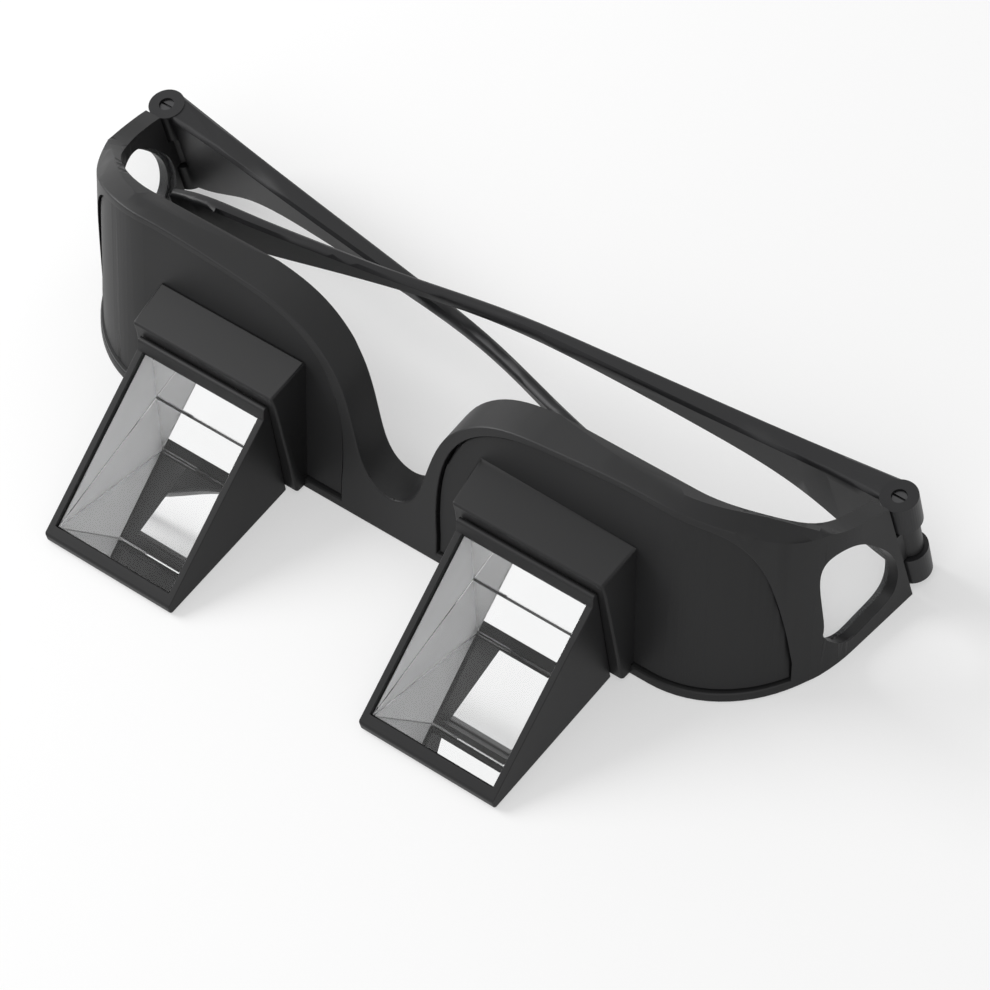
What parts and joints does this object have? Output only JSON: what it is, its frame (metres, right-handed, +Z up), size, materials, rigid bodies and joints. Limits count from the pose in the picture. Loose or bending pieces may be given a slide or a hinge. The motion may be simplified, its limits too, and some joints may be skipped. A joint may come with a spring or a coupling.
{
  "type": "prism bed glasses",
  "caption": "Black wrap-round spectacles whose blank lens plates carry right-angle prisms in wedge cases, turning the view down for reading while lying flat; folding temples.",
  "frame": {"origin": "on the table under the middle of the footprint, glasses lying folded with the nose notch up", "axes": "+X across the face towards the viewer's right when facing the prisms, -Y the way the prisms look, +Z up off the table"},
  "size_m": [0.1502, 0.068, 0.0318],
  "materials": {
    "frame_plastic": "satin black injection-moulded plastic",
    "plate_plastic": "satin black moulded plastic",
    "case_plastic": "satin black moulded plastic",
    "prism_glass": "polished clear optical glass, ground grey sides",
    "mirror_coat": "silvered mirror plate",
    "side_lens_clear": "clear plastic window",
    "temple_plastic": "satin black moulded plastic",
    "screw_steel": "bright machine-screw steel"
  },
  "bodies": {
    "front": {"front_frame": "frame_plastic", "left_lens_plate": "plate_plastic", "right_lens_plate": "plate_plastic", "left_prism_case": "case_plastic", "right_prism_case": "case_plastic", "left_prism": "prism_glass", "right_prism": "prism_glass", "left_prism_mirror": "mirror_coat", "right_prism_mirror": "mirror_coat", "left_side_lens": "side_lens_clear", "right_side_lens": "side_lens_clear", "left_hinge_screw": "screw_steel", "right_hinge_screw": "screw_steel"},
    "left_temple": {"left_temple": "temple_plastic"},
    "right_temple": {"right_temple": "temple_plastic"}
  },
  "joints": [
    {"name": "left_hinge", "type": "hinge", "parent": "front", "child": "left_temple", "pos_m": [-0.07193, 0.0311, 0.0104], "axis": [0.027, 0, 0.9996], "range_deg": [0, 97.3]},
    {"name": "right_hinge", "type": "hinge", "parent": "front", "child": "right_temple", "pos_m": [0.07193, 0.0311, 0.0104], "axis": [-0.027, 0, -0.9996], "range_deg": [0, 94.7]}
  ]
}
